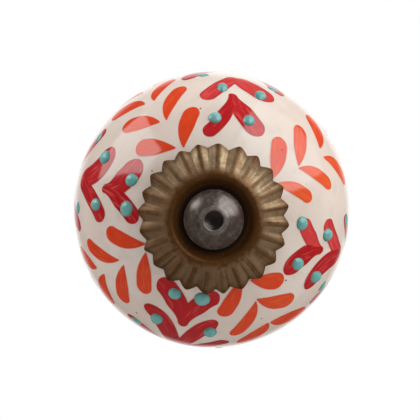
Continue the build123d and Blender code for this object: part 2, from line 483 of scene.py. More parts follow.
def brush_strokes(name, strokes, start_share, growth):
    """Closed thin films on the ball, one for each stroke.

    A stroke's middle line is the parabola through its three directions. Across it runs
    half width * share(u) * cos(phi), and the film rises sqrt(sin(phi)) of its thickness. The share
    goes from start_share to 1 by the growth along the stroke, with a round cap at each end. Every
    second stroke lies over the one before it.
    """
    starts, middles, ends, half_widths, tones = (values[:, None] for values in strokes)
    start_share = np.broadcast_to(start_share, len(starts))[:, None]
    along = (1 - np.cos(np.linspace(0, np.pi, stroke_rows))) / 2
    u = along[None, :, None]
    line = unit(starts * (1 - u) * (1 - 2 * u) + middles * 4 * u * (1 - u) + ends * u * (2 * u - 1))
    slope = starts * (4 * u - 3) + middles * (4 - 8 * u) + ends * (4 * u - 1)
    sideways = unit(np.cross(line, slope))
    length = np.linalg.norm(ends - starts, axis=-1) * ball_radius
    body = start_share + (1 - start_share) * growth(along)
    into_end = np.clip(1 - (1 - along) * length / half_widths, 0, 1)
    into_start = np.clip(1 - along * length / (start_share * half_widths), 0, 1)
    share = body * np.sqrt((1 - into_end**2) * (1 - into_start**2))
    phi = once_round(stroke_columns)
    side = half_widths * share
    offset = (side / ball_radius)[..., None] * np.cos(phi)
    cosine, sine = np.cos(offset)[..., None], np.sin(offset)[..., None]
    direction = line[:, :, None] * cosine + sideways[:, :, None] * sine
    thickness = film + film_overlap * (np.arange(len(side)) % 2)[:, None, None]
    rise = np.sqrt(np.abs(np.sin(phi))) * np.where(np.sin(phi) > 0, thickness, -film_root)
    lift = rise * np.clip(film_rise * share, 0, 1)[..., None]
    border = side[..., None] * (1 - np.abs(np.cos(phi)))
    attributes = {
        "border": np.maximum(border, depth_in_partner(direction, line, side)) / mm,
        "along": along[None, :, None],
        "across": (side[..., None] * np.cos(phi)) / mm,
        "tone": tones[..., None],
        "lot": np.arange(len(side))[:, None, None],
    }
    return add_surface(name, glaze_point(direction, lift), attributes)


stroke_rng = np.random.default_rng(23)
hidden_leaf_rows = (84.0, 101.0, 118.0)
leaf_fall = 15.0
leaf_spread_start = 2.5
leaf_spread_end = 15.5
leaf_bend_share = 0.38
leaf_start_play = 0.5
leaf_bend_play = 0.8
hidden_leaf_half_width = 1.2 * mm
hidden_leaf_tones = (0.2, 0.7)
width_play = 0.1


def mark_pairs(rows, columns):
    """The row, the column and the side, -1 or 1, of each mark in a pattern of pairs."""
    return [values.ravel() for values in np.meshgrid(rows, columns, (-1.0, 1.0), indexing="ij")]


def hidden_leaves():
    """The same leaf pairs carried on round the back: one row and column after another, with a little play."""
    rows, columns, sides = mark_pairs(hidden_leaf_rows, leaf_columns_turn)
    play = stroke_rng.normal(0, 1, (6, rows.size))
    tones = stroke_rng.uniform(*hidden_leaf_tones, rows.size)
    start_turn = columns + sides * (leaf_spread_start + leaf_start_play * play[1])
    bend = leaf_spread_start + leaf_bend_share * (leaf_spread_end - leaf_spread_start)
    bend_turn = columns + sides * (bend + leaf_bend_play * play[2])
    end_turn = columns + sides * (leaf_spread_end + play[4])
    start = ball_direction_at(rows + play[0], start_turn)
    middle = ball_direction_at(rows + leaf_fall / 2 + play[0], bend_turn)
    end = ball_direction_at(rows + leaf_fall + play[3], end_turn)
    return start, middle, end, hidden_leaf_half_width * (1 + width_play * play[5]), tones


seen_leaves = seen_strokes(upper_left_leaves + upper_right_leaves + lower_left_leaves + lower_right_leaves)
all_leaves = [np.concatenate(pair) for pair in zip(seen_leaves, hidden_leaves())]
orange_leaves = brush_strokes("orange_leaves", all_leaves, leaf_tip_share, leaf_growth)


def brush_finish(name, plain, deep, thin, streak, pooling):
    """Brush colour over glaze: tone by stroke, streaks along it, and an edge that is pooled and soaked in."""
    material, shade = new_finish(name)
    place = object_place(shade)
    depth = attribute(shade, "tone")
    lengthwise = {
        "X": attribute(shade, "across"),
        "Y": attribute(shade, "along") * streak_length,
        "Z": attribute(shade, "lot") * streak_shift,
    }
    streaks = clouds(shade, shade.node("CombineXYZ", lengthwise), streak_scale)
    pools = clouds(shade, place, pool_scale)
    thick = depth.step(*deep_tones) * deep_share + pools.step(*pool_edge) * pool_share
    worn_thin = (1 - depth.step(*thin_tones)) * thin_share + streaks.step(*streak_edge) * streak
    streaked = worn_thin.step(0.0, 1.0).blend(thick.blend(plain, deep), thin)
    border = attribute(shade, "border")
    pooled = ((1 - border.step(*pooled_border)) * pooling).blend(streaked, deep)
    soaked = border.step(0.0, edge_soak / mm)
    colour = soaked.blend(glaze_colour(shade, place), pooled)
    close_finish(shade, glaze_sockets(shade, place, colour, paint_ior))
    return material


orange_brush = brush_finish("orange_brush", orange, orange_deep, orange_thin, orange_streaks, orange_pooling)
orange_leaves.data.materials.append(orange_brush)


# Red chevrons
# Two fat brush strokes from one point, each with a round lobe at its end, between the columns of leaves.
# They are the same thin fired film, streakier than the orange. Seen strokes are read from the photo.
chevron_columns_turn = (79.5, 165.5, 252.5, 343.0)
arm_start_share = 0.42
limb_arm_start_share = 0.8
arm_stem = 0.1
arm_belly = 0.5
red = (0.50, 0.008, 0.013, 1)
red_deep = (0.40, 0.003, 0.006, 1)
red_thin = (0.68, 0.065, 0.060, 1)
red_streaks = 0.8
red_pooling = 0.8

# Each arm as apex, middle, lobe end and width, in pixels of the photo, and its tone. The last pair of each
# list lies along the limb, where its near edge alone shows.
# The arms' tones are partly painted light and shade too, the upper arms mostly paler and the lower deeper
top_arms = [
    ((231.3, 93.5), (243.8, 113.0), (261.8, 135.8), 18.5, 0.35),
    ((231.7, 93.5), (223.6, 115.8), (204.0, 134.6), 15.0, 0.5),
    ((235.5, 78.0), (252.0, 88.0), (273.2, 102.0), 14.0, 0.1),
    ((236.0, 78.0), (221.0, 85.8), (203.0, 99.3), 13.0, 0.15),
    ((239.7, 60.4), (261.8, 79.5), (280.5, 96.0), 4.2, 0.6),
    ((239.7, 60.4), (210.2, 70.5), (185.0, 80.5), 4.2, 0.8),
]
left_arms = [
    ((102.0, 188.5), (121.5, 181.5), (140.3, 159.5), 21.5, 0.4),
    ((102.0, 188.5), (120.5, 201.0), (136.3, 223.0), 17.0, 0.85),
    ((81.0, 179.5), (97.5, 170.0), (112.5, 146.7), 17.0, 0.45),
    ((81.3, 179.0), (91.5, 198.0), (102.3, 221.3), 13.5, 0.7),
    ((65.0, 170.0), (91.0, 148.0), (106.5, 129.0), 4.2, 0.8),
    ((65.0, 170.0), (72.4, 201.0), (81.0, 228.0), 4.2, 0.8),
]
right_arms = [
    ((323.0, 250.8), (311.0, 238.0), (303.4, 218.5), 15.0, 0.0),
    ((323.0, 250.5), (304.5, 255.8), (285.0, 274.5), 17.5, 0.8),
    ((339.5, 255.0), (333.2, 240.0), (327.0, 219.5), 12.5, 0.15),
    ((340.0, 254.5), (323.0, 266.0), (307.0, 289.5), 14.0, 0.7),
    ((357.3, 253.2), (346.5, 229.0), (345.5, 214.0), 4.2, 0.9),
    ((357.3, 253.2), (332.8, 279.2), (310.0, 301.5), 4.2, 0.9),
]
bottom_arms = [
    ((182.5, 326.5), (176.0, 301.5), (158.5, 279.3), 20.5, 0.75),
    ((182.5, 326.5), (197.5, 307.0), (219.8, 296.0), 18.5, 0.6),
    ((177.5, 344.5), (163.5, 322.5), (145.0, 309.5), 16.5, 0.8),
    ((177.5, 344.5), (197.0, 332.5), (218.3, 325.0), 15.0, 0.6),
    ((166.5, 354.9), (147.5, 329.8), (127.5, 313.9), 4.2, 0.9),
    ((166.5, 354.9), (200.5, 345.5), (228.0, 340.5), 4.2, 0.9),
]

# Rows further round: where the apex lies from the front pole, and how far round the lobes reach from it
hidden_chevron_rows = (112.0, 132.0)
arm_climb = 15.5
arm_middle_climb = 7.0
arm_spread_middles = (10.0, 11.5)
arm_spread_ends = (20.5, 23.5)
arm_middle_play = 0.7
hidden_arm_half_width = 1.3 * mm
hidden_arm_tones = (0.2, 0.8)


def hidden_arms():
    """The same chevrons carried on round the back: apex, middle and lobe of both arms, with a little play."""
    rows, columns, sides = mark_pairs(hidden_chevron_rows, chevron_columns_turn)
    play = stroke_rng.normal(0, 1, (5, rows.size))
    tones = stroke_rng.uniform(*hidden_arm_tones, rows.size)
    start = ball_direction_at(rows, columns)
    spread_middle = np.interp(rows, hidden_chevron_rows, arm_spread_middles)
    spread_end = np.interp(rows, hidden_chevron_rows, arm_spread_ends)
    middle_turn = columns + sides * (spread_middle + arm_middle_play * play[1])
    middle = ball_direction_at(rows - arm_middle_climb + play[0], middle_turn)
    end = ball_direction_at(rows - arm_climb + play[2], columns + sides * (spread_end + play[3]))
    return start, middle, end, hidden_arm_half_width * (1 + width_play * play[4]), tones


def arm_growth(along):
    """How an arm widens past its narrow stem: a smooth step from the stem's end up to the belly."""
    return smooth_step(along, arm_stem, arm_belly)


seen_arms = seen_strokes(top_arms + left_arms + right_arms + bottom_arms)
all_arms = [np.concatenate(pair) for pair in zip(seen_arms, hidden_arms())]
# The first pair of each list has a narrow stem, and the pairs nearer the limb a fuller one
arm_start_shares = np.full(len(all_arms[0]), arm_start_share)
seen_start_shares = arm_start_shares[: len(seen_arms[0])].reshape(len(chevron_columns_turn), -1, 2)
seen_start_shares[:, 1:] = limb_arm_start_share
red_chevrons = brush_strokes("red_chevrons", all_arms, arm_start_shares, arm_growth)
red_brush = brush_finish("red_brush", red, red_deep, red_thin, red_streaks, red_pooling)
red_chevrons.data.materials.append(red_brush)


# Turquoise dots
# Blobs of thick enamel set down from the brush's tip in the lobes of the chevrons, and fired on.
# They stand proud of the glaze as small glossy domes, none quite round.
dot_height = 0.52 * mm
limb_dot_height = 0.2 * mm
dot_root = 0.15 * mm
dot_fullness = 2.4
dot_play = 0.025
# How much of a dot's width across its ring is its own, the rest being its height seen aslant
dot_relief_share = 0.94
dot_rings = 12
dot_columns = 28
turquoise = (0.165, 0.43, 0.41, 1)
turquoise_pale = (0.30, 0.52, 0.49, 1)
turquoise_deep = (0.070, 0.24, 0.235, 1)
swirl_scale = 700.0
swirl_pale_edge = (0.5, 0.75)
swirl_deep_edge = (0.55, 0.75)
swirl_deep_share = 0.5
# Painted shade: the dots are painted darker towards their edges
rim_shade_edge = (0.6, 1.0)
rim_shade_share = 0.6

# Each dot's middle, width along its ring round the axis and width across that ring, in pixels of the photo
seen_dots = [
    ((215.0, 117.5), 14.0, 12.5),
    ((249.0, 120.5), 12.5, 12.0),
    ((222.5, 87.5), 11.5, 9.5),
    ((260.5, 95.8), 13.5, 9.5),
    ((131.5, 180.0), 14.5, 12.5),
    ((126.5, 208.8), 16.5, 14.0),
    ((105.0, 157.3), 15.0, 10.5),
    ((95.6, 204.5), 13.0, 10.5),
    ((302.3, 223.5), 14.5, 12.5),
    ((298.0, 264.0), 13.5, 12.5),
    ((327.7, 235.0), 14.0, 10.0),
    ((316.0, 277.0), 13.5, 11.0),
    ((174.5, 294.0), 14.0, 12.5),
    ((202.0, 299.5), 16.5, 15.0),
    ((156.5, 319.0), 13.5, 11.5),
    ((210.0, 332.5), 14.0, 11.0),
]
# The last row that shows, at the limb, by the middles alone. The last of them is just out of sight.
limb_dots = [
    (203.0, 75.3),
    (273.0, 89.7),
    (99.0, 137.5),
    (78.0, 208.0),
    (346.2, 220.5),
    (322.5, 286.0),
    (136.8, 320.7),
    (219.5, 362.0),
]
hidden_dot_rows = (100.0, 120.0)
hidden_dot_spreads = (17.3, 19.9)
hidden_dot_radius = 0.9 * mm
hidden_dot_play = 0.08


def enamel_dots(name, middles, radii, heights):
    """Domes on the ball, each with two radii: round the axis and away from the front pole.

    The outline is an ellipse times 1 + a little cos 2 and cos 3 of the angle, and the dome rises
    height * (1 - t^2.4) over it, t running from 0 in the middle to 1 at the edge.
    """
    count = len(middles)
    round_axis = unit(np.cross(middles, [0, 1, 0]))
    from_pole = np.cross(middles, round_axis)
    t = np.linspace(0, 1, dot_rings)[None, :, None]
    angle = once_round(dot_columns)
    lobes = stroke_rng.normal(0, dot_play, (2, count, 1, 1))
    lobe_turn = stroke_rng.uniform(0, 2 * np.pi, (2, count, 1, 1))
    outline = 1 + lobes[0] * np.cos(2 * angle + lobe_turn[0]) + lobes[1] * np.cos(3 * angle + lobe_turn[1])
    reach = t * outline / ball_radius
    sideways = (reach * np.cos(angle) * radii[:, 0, None, None])[..., None] * round_axis[:, None, None]
    outwards = (reach * np.sin(angle) * radii[:, 1, None, None])[..., None] * from_pole[:, None, None]
    direction = unit(middles[:, None, None] + sideways + outwards)
    rise = heights[:, None, None] * (1 - t**dot_fullness)
    dome = glaze_point(direction, np.broadcast_to(rise, reach.shape))
    root = np.full((count, 1, dot_columns), -dot_root)
    rim = glaze_point(direction[:, -1:], root)
    pole = glaze_point(np.broadcast_to(middles[:, None, None], rim.shape), root)
    edge = np.concatenate([t, np.ones((1, 2, 1))], 1)
    return add_surface(name, np.concatenate([dome, rim, pole], 1), {"edge": edge})


dot_pixel = (camera_distance - ball_radius) / focal_pixels
seen_dot_middles = seen_direction([dot[0] for dot in seen_dots])
facing = seen_dot_middles @ towards_camera
seen_dot_radii = np.column_stack(
    [
        np.array([dot[1] for dot in seen_dots]) / 2 * dot_pixel,
        np.array([dot[2] for dot in seen_dots]) / 2 * dot_pixel * dot_relief_share / facing,
    ]
)
dot_row, dot_column, dot_side = mark_pairs(hidden_dot_rows, chevron_columns_turn)
hidden_play = stroke_rng.normal(0, 1, (3, dot_row.size))
hidden_turn = dot_column + dot_side * np.interp(dot_row, hidden_dot_rows, hidden_dot_spreads)
hidden_dot_middles = ball_direction_at(dot_row + hidden_play[0], hidden_turn + hidden_play[1])
dot_middles = np.concatenate([seen_dot_middles, seen_direction(limb_dots), hidden_dot_middles])
plain_sizes = np.concatenate([np.ones(len(limb_dots)), 1 + hidden_dot_play * hidden_play[2]])
plain_radii = plain_sizes * hidden_dot_radius
dot_radii = np.concatenate([seen_dot_radii, np.column_stack([plain_radii, plain_radii])])
# Dots at the limb and in the first row behind it are low, so that none stands out over the outline
low_dots = len(limb_dots) + np.count_nonzero(dot_row == hidden_dot_rows[0])
dot_heights = np.full(len(dot_middles), dot_height)
dot_heights[len(seen_dots) : len(seen_dots) + low_dots] = limb_dot_height
turquoise_dots = enamel_dots("turquoise_dots", dot_middles, dot_radii, dot_heights)
enamel, shade = new_finish("turquoise_enamel")
enamel_place = object_place(shade)
swirl = clouds(shade, enamel_place, swirl_scale)
swirled = swirl.step(*swirl_pale_edge).blend(turquoise, turquoise_pale)
# Painted shade round each dot's edge
rim_shade = attribute(shade, "edge").step(*rim_shade_edge) * rim_shade_share
deep_and_rim_shade = (1 - swirl).step(*swirl_deep_edge) * swirl_deep_share + rim_shade
dotted = deep_and_rim_shade.step(0.0, 1.0).blend(swirled, turquoise_deep)
close_finish(shade, glaze_sockets(shade, enamel_place, dotted, paint_ior))
turquoise_dots.data.materials.append(enamel)


# Specks in the glaze
# Grains of iron in the clay and glaze that fired to small dark brown specks. The seen ones are read from
# the photo, and a few more lie round the back.
speck_height = 0.05 * mm
speck_width = 0.3 * mm
speck_brown = (0.075, 0.045, 0.030, 1)
speck_amber = (0.16, 0.09, 0.055, 1)
speck_scale = 2500.0
amber_edge = (0.4, 0.6)
speck_sizes = (0.6, 1.15)
hidden_specks = 9
hidden_speck_band = (95, 150)
seen_specks = [(152.0, 171.0), (286.0, 280.5), (200.5, 108.5), (136.5, 313.0), (261.5, 318.5), (282.0, 150.0)]

speck_rng = np.random.default_rng(31)
speck_polar = speck_rng.uniform(*hidden_speck_band, hidden_specks)
speck_turn = speck_rng.uniform(0, 360, hidden_specks)
speck_middles = np.concatenate([seen_direction(seen_specks), ball_direction_at(speck_polar, speck_turn)])
speck_radii = speck_width / 2 * speck_rng.uniform(*speck_sizes, (len(speck_middles), 2))
speck_heights = np.full(len(speck_middles), speck_height)
glaze_specks = enamel_dots("glaze_specks", speck_middles, speck_radii, speck_heights)
iron, shade = new_finish("iron_speck")
speck_place = object_place(shade)
speck_tone = clouds(shade, speck_place, speck_scale, detail=1.0)
speck_colour = speck_tone.step(*amber_edge).blend(speck_brown, speck_amber)
close_finish(shade, glaze_sockets(shade, speck_place, speck_colour, glaze_ior))
glaze_specks.data.materials.append(iron)


# Painted light and shade on it: the flutes towards the upper right are painted brighter, and the crests, the
# other flutes and the well darker.
# Front rosette
# A cap pressed from sheet brass, darkened by an antique patina and rubbed bright on its flutes' flanks.
# Its floor is clamped on the ball's front flat by the bolt's head, and its fluted skirt nears the ball.
sheet = 0.5 * mm
rosette_floor = -ball_front + sheet
hole_radius = 2.15 * mm
well_radius = 5.1 * mm
well_depth = 1.35 * mm
well_draft = np.radians(28)
shoulder_round = 0.72 * mm
flutes = 24
flute_turn = 9.8
flute_samples = 16
crest_radius = 10.65 * mm
valley_radius = 9.9 * mm
crest_slope = np.radians(29.5)
rim_gap = 0.15 * mm
skirt_rows = 44
shoulder_rows = 12
wall_rows = 4
floor_rows = 5
zigzag_sharpness = 0.95
rim_zigzag = 0.6
rim_play = 0.07 * mm
# Painted light: the flutes round this angle, towards the upper right where the light falls, are painted
# brighter than the rest, and a share of it is chance wear
lit_side_turn = np.radians(48)
lit_side_falloff = 1.5
lit_side_share = 0.8
# How much flatter than straight the valleys and the crests leave the shoulder
valley_swell = 0.3
crest_swell = 0.15
# How far each valley strays from even spacing, in degrees, anticlockwise from the right, as the photo shows
valley_stray = np.array(
    [0, -0.7, 0, 0.5, -0.7, 0, 2.3, 2.3, 1.6, 0.5, 0, -0.7]
    + [-0.7, 0.7, -1.8, -1.6, -1.1, -1.1, -0.5, -3.5, -1.6, 0, 0, 0]
)
brass_ior = 1.3
brass_worn = (0.78, 0.60, 0.38, 1)
brass_brown = (0.33, 0.190, 0.100, 1)
brass_umber = (0.125, 0.048, 0.011, 1)
# Painted shadow: the near black of the rosette's well
brass_shadow_black = (0.030, 0.015, 0.008, 1)
patina_scale = 260.0
mottle_scale = 1300.0
grain_scale = 3400.0
# Between which values clouds, mottle and grain set in, and the share of each: in the wear and in the patina
wear_layers = (((0.4, 0.6), 0.35), ((0.42, 0.6), 0.45), ((0.4, 0.65), 0.2))
spot_layers = (((0.45, 0.72), 0.35), ((0.45, 0.7), 0.3), ((0.45, 0.75), 0.15))
umber_stain = (0.0, 0.75)
black_stain_and_shadow = (0.6, 1.0)
grain_share = 0.6
grain_strength = 0.45
grain_height = 0.08 * mm
patina_metallic = 0.45
worn_metallic = 0.9
patina_roughness = 0.36
cloud_roughness = 0.15
worn_smoothness = 0.05
flute_streak_scale = 11.0
# Along the skirt, from 0 at its root to 1 at its rim, and across a flute, from 0 in a valley to 1 on a crest:
# where the wear and the stain begin and end, and their shares; the darker crests and the share by the lit
# side are painted light and shade
root_reach = (0.0, 0.3)
wear_rim_reach = (0.7, 1.0)
# Painted shade: the crests keep little wear, so they stay dark between the bright flanks
dark_crest_edge = (0.75, 1.0)
darkened_edges_share = 0.8
wear_least = 0.15
# Painted light: the wear is greater on the flutes towards the upper right
wear_and_sheen_by_light = 0.75
wear_streaks = (0.45, 0.68)
wear_lost_in_streaks = 0.5
stain_rim_reach = (0.75, 1.0)
stain_at_rim = 0.2
# Painted shade: the crests are painted darker, most on the flutes towards the upper right, and the flutes
# away from it darker all over
shaded_crest_edge = (0.65, 1.0)
crest_shade = 0.08
crest_shade_by_light = 0.4
shade_away_from_light = 0.28
stain_streaks = (0.48, 0.72)
stain_in_streaks = 0.4
# Where the umber patina and the painted black shadow in the well end, in millimetres from the axis, and their
# shares
umber_well = (5.9, 7.6)
umber_well_share = 0.6
well_shadow_edge = (4.4, 5.3)
well_shadow_share = 0.4

shoulder_top = rosette_floor + well_depth
wall_height = well_depth - shoulder_round * (1 - np.sin(well_draft))
wall_top_radius = well_radius + wall_height * np.tan(well_draft)
shoulder_radius = wall_top_radius + shoulder_round * np.cos(well_draft)
root_radius = shoulder_radius + shoulder_round * np.sin(crest_slope)
root_forward = shoulder_top - shoulder_round * (1 - np.cos(crest_slope))
rim_crest_forward = root_forward - (crest_radius - root_radius) * np.tan(crest_slope)
ball_at_valley = -ball_centre[1] + np.sqrt(ball_radius**2 - valley_radius**2)
rim_valley_forward = ball_at_valley + sheet / np.cos(crest_slope) + rim_gap

rosette_columns = flutes * flute_samples
rosette_angle = once_round(rosette_columns)
valley_angle = np.radians(flute_turn - 180 / flutes + np.arange(flutes) * 360 / flutes + valley_stray)
valley_angle_wrapped = np.concatenate([valley_angle, [valley_angle[0] + 2 * np.pi]])
flute_phase = np.interp(
    (rosette_angle - valley_angle[0]) % (2 * np.pi) + valley_angle[0],
    valley_angle_wrapped,
    np.arange(flutes + 1) * 2 * np.pi,
)
# 0 along a valley and 1 along a crest: round ridges at the root, near the rim more of a zigzag
round_ridge = np.abs(np.sin(flute_phase / 2))
zigzag = 0.5 - 0.5 * np.arcsin(zigzag_sharpness * np.cos(flute_phase)) / np.arcsin(zigzag_sharpness)
flute_number = np.floor(flute_phase / (2 * np.pi)).astype(int) % flutes
valley_number = np.round(flute_phase / (2 * np.pi)).astype(int) % flutes
press_rng = np.random.default_rng(12)
crest_play = press_rng.normal(0, rim_play, flutes)[flute_number]
valley_play = press_rng.normal(0, rim_play, flutes)[valley_number]
# Painted light and shade: each flute is painted brighter the nearer it lies to the upper right, with a share
# of chance wear
flute_lit_side = (0.5 + 0.5 * np.cos(once_round(flutes) - lit_side_turn)) ** lit_side_falloff
flute_chance = press_rng.uniform(0, 1, flutes)
flute_sheen_and_wear = (lit_side_share * flute_lit_side + (1 - lit_side_share) * flute_chance)[flute_number]

shoulder_bend = np.linspace(well_draft - np.pi / 2, crest_slope, shoulder_rows)
dish_radius = np.concatenate(
    [
        np.linspace(hole_radius, well_radius, floor_rows)[:-1],
        np.linspace(well_radius, wall_top_radius, wall_rows),
        shoulder_radius + shoulder_round * np.sin(shoulder_bend[1:]),
    ]
)
dish_forward = np.concatenate(
    [
        np.full(floor_rows - 1, rosette_floor),
        np.linspace(rosette_floor, rosette_floor + wall_height, wall_rows),
        shoulder_top - shoulder_round * (1 - np.cos(shoulder_bend[1:])),
    ]
)
skirt_share = np.linspace(0, 1, skirt_rows + 1)[1:, None]
skirt_crest = round_ridge + (zigzag - round_ridge) * rim_zigzag * skirt_share
valley_reach = (valley_radius + valley_play - root_radius) * (1 - skirt_crest)
crest_reach = (crest_radius + crest_play - root_radius) * skirt_crest
skirt_radius = root_radius + skirt_share * (valley_reach + crest_reach)
valley_fall = skirt_share * (1 - valley_swell * (1 - skirt_share)) * (rim_valley_forward - root_forward)
crest_fall = skirt_share * (1 - crest_swell * (1 - skirt_share)) * (rim_crest_forward - root_forward)
skirt_forward = root_forward + valley_fall * (1 - skirt_crest) + crest_fall * skirt_crest


def spread(values):
    """One value for each row, repeated round all the columns."""
    return np.repeat(values[:, None], rosette_columns, 1)


top_radius = np.concatenate([spread(dish_radius), skirt_radius])
top_forward = np.concatenate([spread(dish_forward), skirt_forward])
# The sheet's back follows its face, one sheet away along the mean slope of each row
mean_slope = np.arctan2(np.gradient(top_forward.mean(1)), np.gradient(top_radius.mean(1)))[:, None]
back_radius = top_radius + sheet * np.sin(mean_slope)
back_forward = top_forward - sheet * np.cos(mean_slope)
rosette_radius = np.concatenate([top_radius, back_radius[::-1]])
rosette_forward = np.concatenate([top_forward, back_forward[::-1]])
rosette_points = about_axis(rosette_radius, rosette_forward, rosette_angle)
top_reach = np.concatenate([np.zeros((len(dish_radius), 1)), skirt_share])
top_crest = np.concatenate([np.broadcast_to(round_ridge, (len(dish_radius), rosette_columns)), skirt_crest])
rosette_attributes = {
    "crest": np.concatenate([top_crest, top_crest[::-1]])[None],
    "reach": np.concatenate([top_reach, top_reach[::-1]])[None],
    "radius": rosette_radius[None] / mm,
    "sheen_and_wear": flute_sheen_and_wear[None, None],
}
pressed_rosette = add_surface(
    "pressed_rosette", rosette_points[None], rosette_attributes, closed_rows=True, sharp_angle=55
)


def layered(layers, recipe):
    """The sum of all layers, each a smooth step between two values times its share."""
    return sum(layer.step(*edge) * share for layer, (edge, share) in zip(layers, recipe))


def brass_finish(name, wear, stain):
    """Antique brass: rubbed metal on the worn share, elsewhere a dull patina, brown to black by its stain. On
    the rosette the worn share holds painted light and the stain painted shade, its black a painted shadow.
    """
    material, shade = new_finish(name)
    place = object_place(shade)
    cloud = clouds(shade, place, patina_scale, detail=4.0, roughness=0.6)
    mottle = clouds(shade, place, mottle_scale, detail=3.0, roughness=0.6)
    grain = clouds(shade, place, grain_scale)
    layers = (cloud, mottle, grain)
    worn = wear(shade) * layered(layers, wear_layers)
    soaked = stain(shade)
    umber = (soaked + layered(layers, spot_layers)).step(*umber_stain).blend(brass_brown, brass_umber)
    # The black is a painted shadow where the stain runs deepest, as in the rosette's well
    patina = soaked.step(*black_stain_and_shadow).blend(umber, brass_shadow_black)
    rough = grain * grain_share + mottle
    bump = shade.node("Bump", {"Height": rough, "Strength": grain_strength, "Distance": grain_height})
    close_finish(
        shade,
        {
            "Base Color": worn.blend(patina, brass_worn),
            "Metallic": worn * (worn_metallic - patina_metallic) + patina_metallic,
            "IOR": brass_ior,
            "Roughness": cloud * cloud_roughness + patina_roughness - worn * worn_smoothness,
            "Normal": bump,
        },
    )
    return material


def flute_streaks(shade):
    """Streaks that run out along the flutes: noise over the direction from the axis alone."""
    aside = shade.node("VectorMath", {0: object_place(shade), 1: (1, 0, 1)}, operation="MULTIPLY")
    outward = shade.node("VectorMath", {0: aside}, operation="NORMALIZE")
    return clouds(shade, outward, flute_streak_scale, detail=3.0, roughness=0.65)


def rosette_wear(shade):
    """The flutes' flanks and valleys up to near the rim, some flutes more than others, broken by streaks.
    Painted light: most on the flutes towards the upper right, with the crests kept dark as painted shade.
    """
    reach = attribute(shade, "reach")
    skirt = reach.step(*root_reach) * (1 - reach.step(*wear_rim_reach) * darkened_edges_share)
    flank = 1 - attribute(shade, "crest").step(*dark_crest_edge) * darkened_edges_share
    lit_and_worn = attribute(shade, "sheen_and_wear") * wear_and_sheen_by_light + wear_least
    return skirt * flank * lit_and_worn * (1 - flute_streaks(shade).step(*wear_streaks) * wear_lost_in_streaks)


def rosette_stain(shade):
    """Painted black shadow in the well, umber up to the flutes' roots and on the rim, a little in streaks,
    and painted shade on the crests and on the flutes away from the upper right.
    """
    radius = attribute(shade, "radius")
    reach = attribute(shade, "reach")
    umber = (1 - radius.step(*umber_well)) * umber_well_share
    black = (1 - radius.step(*well_shadow_edge)) * well_shadow_share
    streaked = flute_streaks(shade).step(*stain_streaks) * stain_in_streaks
    lit_and_worn = attribute(shade, "sheen_and_wear")
    on_crest = attribute(shade, "crest").step(*shaded_crest_edge)
    crests = on_crest * (lit_and_worn * crest_shade_by_light + crest_shade)
    edges = crests + reach.step(*stain_rim_reach) * stain_at_rim
    skirt = streaked + edges + (1 - lit_and_worn) * shade_away_from_light
    return umber + black + skirt * reach.step(*root_reach)


rosette_brass = brass_finish("antique_brass", rosette_wear, rosette_stain)
pressed_rosette.data.materials.append(rosette_brass)
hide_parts("front_rosette")


# Bolt
# One turned steel bolt, blackened and handled until it shines: a dome head with a low collar round a blind
# hole, a plain shank through the ball, and a threaded end that goes through the drawer front.
head_radius = 4.2 * mm
head_side = 1.1 * mm
head_edge = 0.12 * mm
collar_radius = 2.1 * mm
collar_step = 0.18 * mm
collar_edge = 0.05 * mm
lip_radius = 1.55 * mm
lip_depth = 0.3 * mm
blind_radius = 1.3 * mm
blind_depth = 1.3 * mm
drill_point = 0.6 * mm
shank_radius = 1.773 * mm
shank_end = 0.3 * mm
thread_radius = 2.0 * mm
thread_pitch = 0.7 * mm
thread_depth = 0.61 * thread_pitch
# How much steeper than a plain zigzag the thread's flanks are, and how flat its crests
flank_steepness = 1.3
crest_flat = 0.1
point_length = 0.7 * mm
point_taper = 0.5 * mm
dome_rows = 90
lip_rows = 8
bolt_columns = 96
thread_columns = 48
thread_rows_per_turn = 10
steel_grey = (0.150, 0.098, 0.076, 1)
steel_rust = (0.115, 0.058, 0.034, 1)
steel_worn = (0.36, 0.30, 0.265, 1)
steel_hole_shade = (0.09, 0.042, 0.027, 1)
steel_metallic = 0.5
steel_ior = 2.8
steel_roughness = 0.09
patch_scale = 480.0
patch_roughness = 0.2
rust_edge = (0.45, 0.62)
rust_share = 0.85
rust_lost_on_collar = 0.7
pit_scale = 1800.0
pit_roughness = 0.25
pit_strength = 0.3
pit_height = 0.05 * mm
pit_worn_edge = (0.45, 0.65)
pit_worn_share = 0.5
collar_worn_share = 0.45
# Where the collar's wear and the painted shade in the hole end, in millimetres from the axis
worn_edge = (2.05, 2.15)
hole_shade_edge = (1.26, 1.4)
# The thread is finished as the head is this many millimetres from the axis
thread_finish_radius = 3.0

bolt_front, bolt_end = (corner.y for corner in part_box("bolt"))
head_seat = rosette_floor
dome_base = head_seat + head_side
dome_top = -bolt_front
dome_narrowing = head_radius**2 - lip_radius**2
dome_centre = (dome_base + dome_top) / 2 - dome_narrowing / (2 * (dome_top - dome_base))
dome_sphere = np.hypot(head_radius, dome_base - dome_centre)
dome_bend = np.linspace(*np.arcsin([lip_radius / dome_sphere, head_radius / dome_sphere]), dome_rows)
